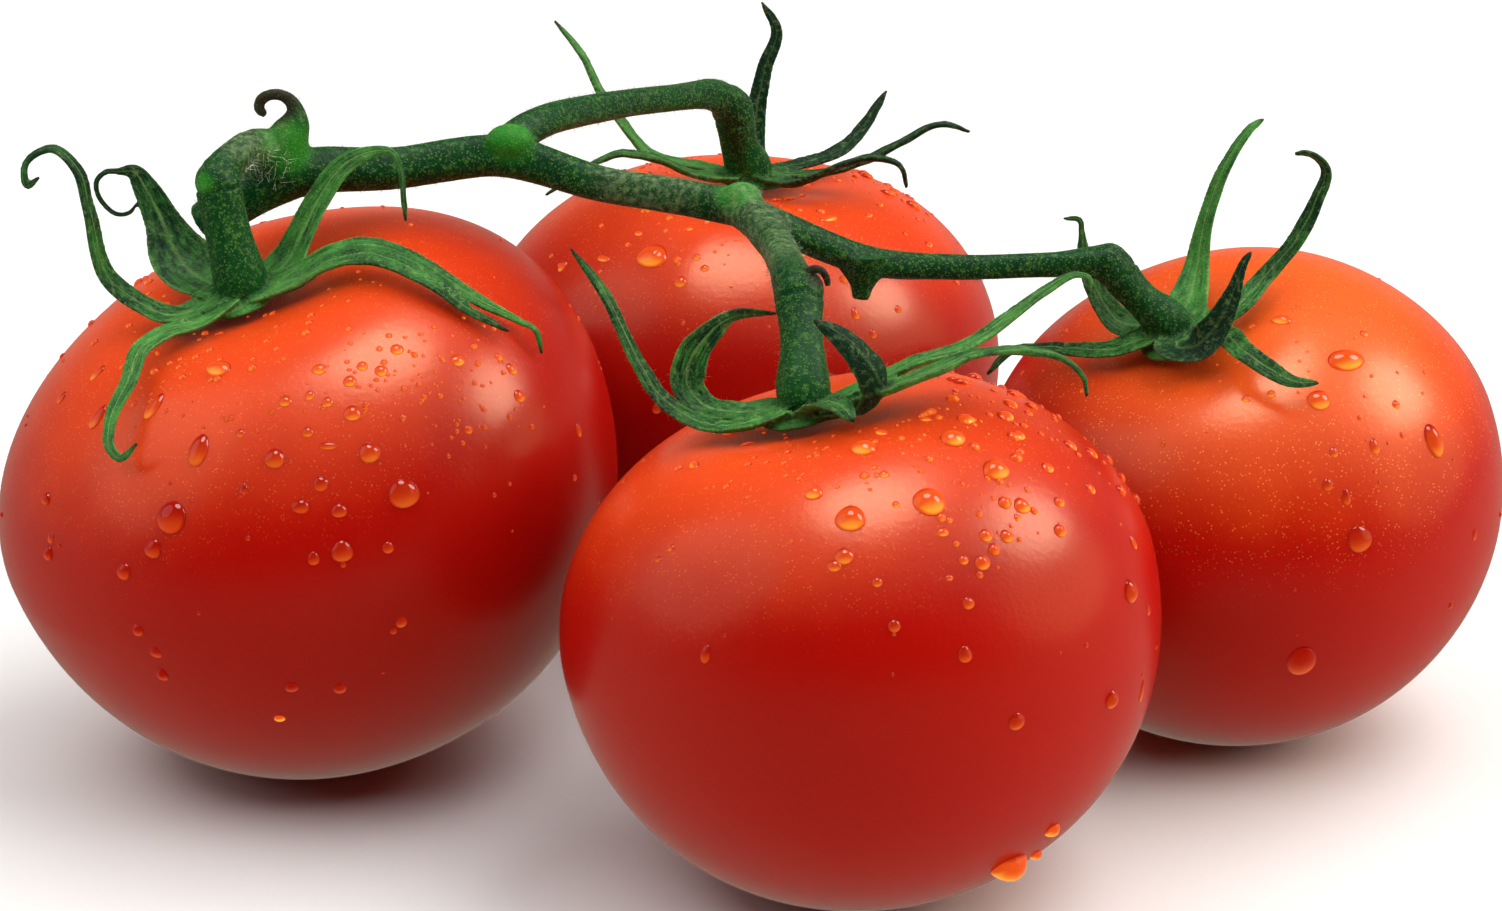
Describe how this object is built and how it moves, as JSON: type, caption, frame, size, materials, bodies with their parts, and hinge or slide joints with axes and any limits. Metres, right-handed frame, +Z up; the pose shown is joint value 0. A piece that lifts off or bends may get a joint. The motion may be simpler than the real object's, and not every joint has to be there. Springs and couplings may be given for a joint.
{
  "type": "truss of tomatoes",
  "caption": "Ripe round tomatoes on the vine, still held by their green sepals, knuckled pedicels and one branching stem, lying at rest on a table.",
  "frame": {"origin": "on the table, below the middle of the truss", "axes": "+X to the viewer's right along the longer side, +Y away from the viewer, +Z up"},
  "size_m": [0.1817, 0.1603, 0.0816],
  "materials": {
    "skin": "smooth ripe red skin with a soft gloss",
    "sepal": "dull green leaf with brown tips",
    "stem": "dull dark green, finely haired"
  },
  "bodies": {
    "root": {"tomato_left": "skin", "tomato_front": "skin", "tomato_right": "skin", "tomato_back": "skin", "calyx_left": "sepal", "calyx_front": "sepal", "calyx_right": "sepal", "calyx_back": "sepal", "truss_stem": "stem"}
  },
  "joints": []
}
